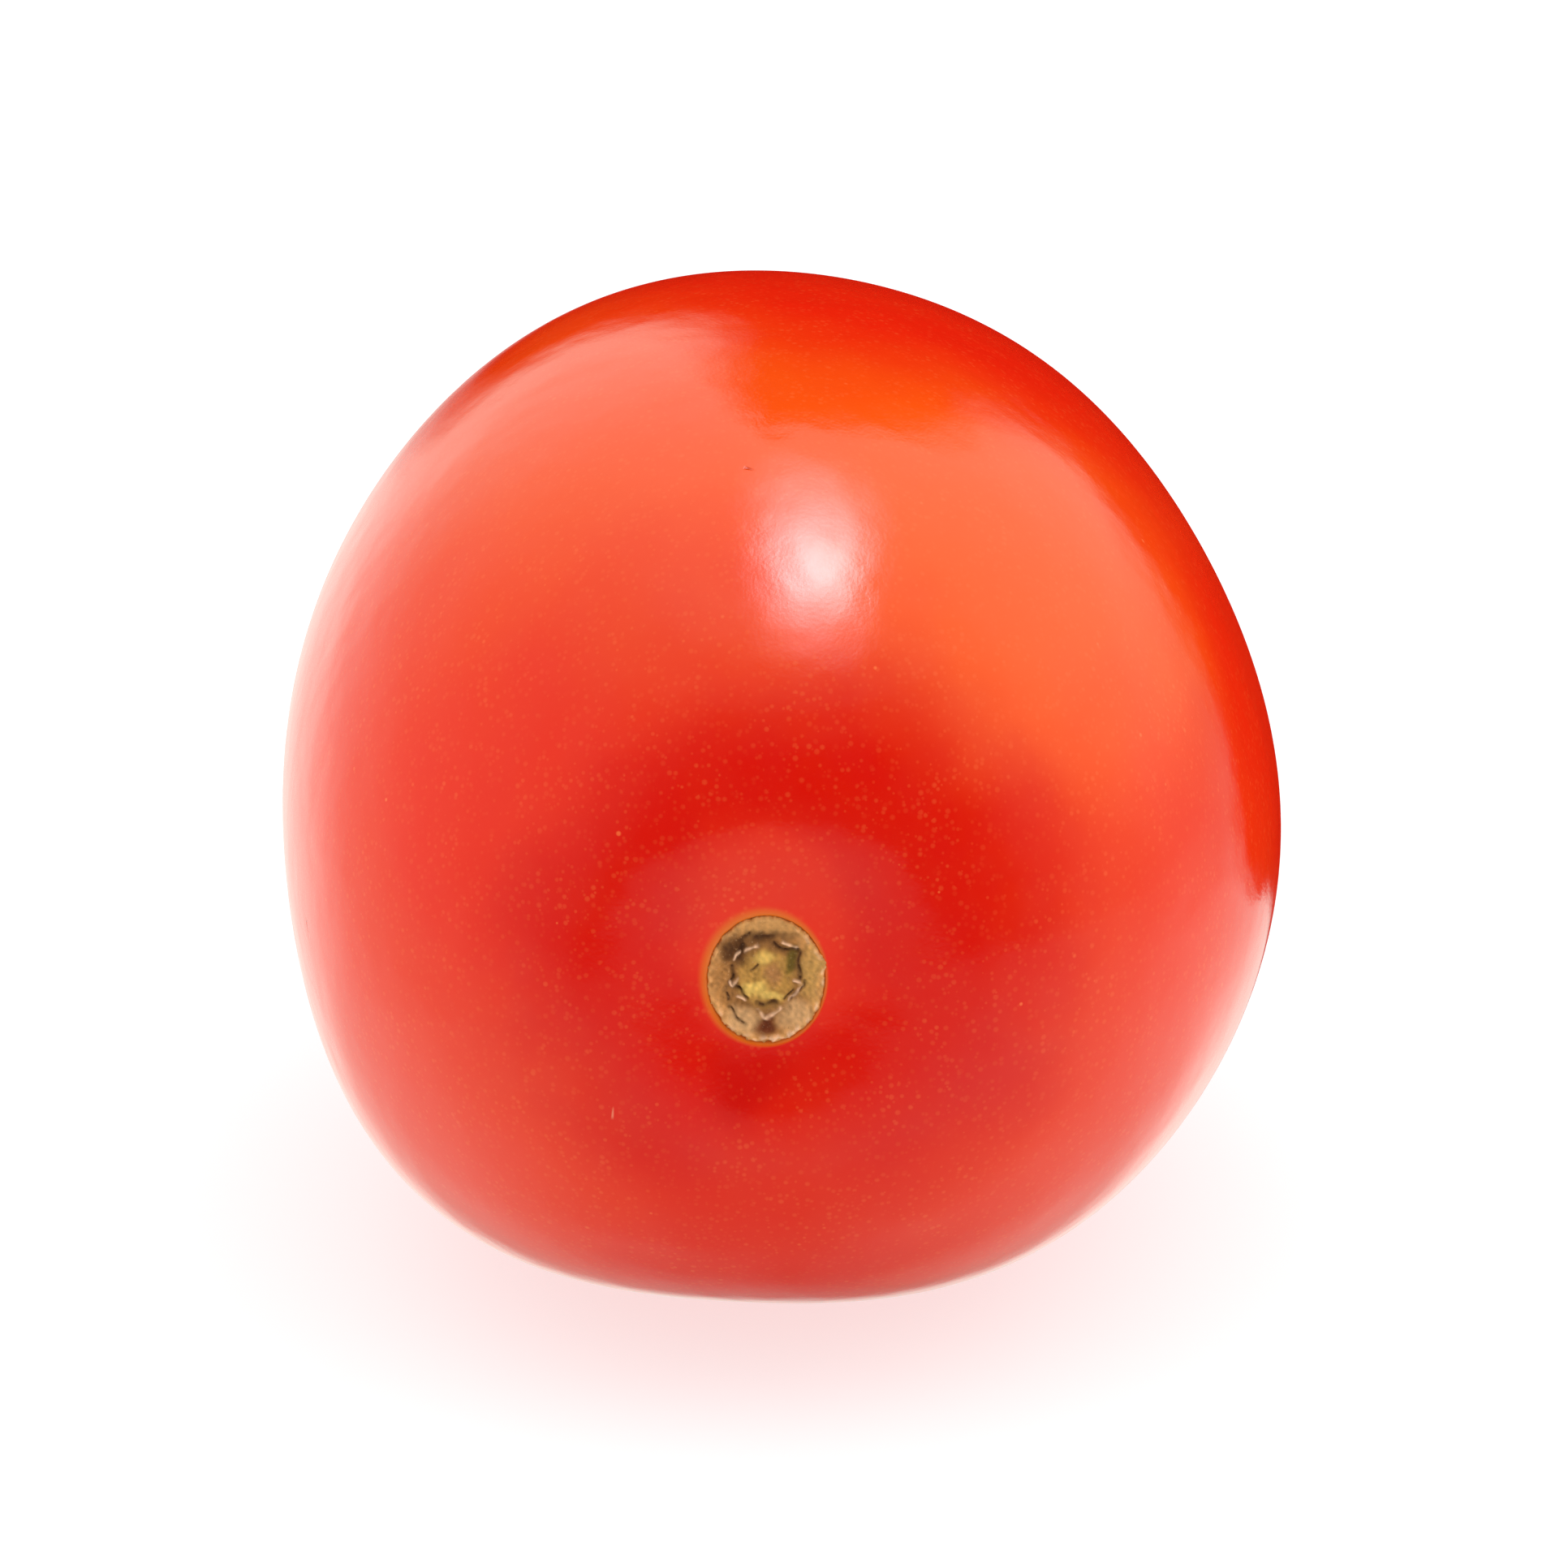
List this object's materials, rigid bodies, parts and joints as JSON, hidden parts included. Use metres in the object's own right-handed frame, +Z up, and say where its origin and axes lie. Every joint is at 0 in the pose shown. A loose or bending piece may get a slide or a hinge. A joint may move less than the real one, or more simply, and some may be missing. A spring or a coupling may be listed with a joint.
{
  "type": "tomato",
  "caption": "Ripe red plum tomato, as picked, with a corky stem scar in a shallow basin, lying on its side on a small flat spot.",
  "frame": {"origin": "middle of the bounding box's underside, on the surface that the fruit rests on", "axes": "+Z up, +Y along the fruit from the stem end towards the blossom end, +X to the right as seen from the stem end"},
  "size_m": [0.0502, 0.0654, 0.0481],
  "materials": {
    "tomato_skin": "waxy gloss, ripe red with fine paler flecks"
  },
  "bodies": {
    "root": {"tomato": "tomato_skin"}
  },
  "joints": []
}
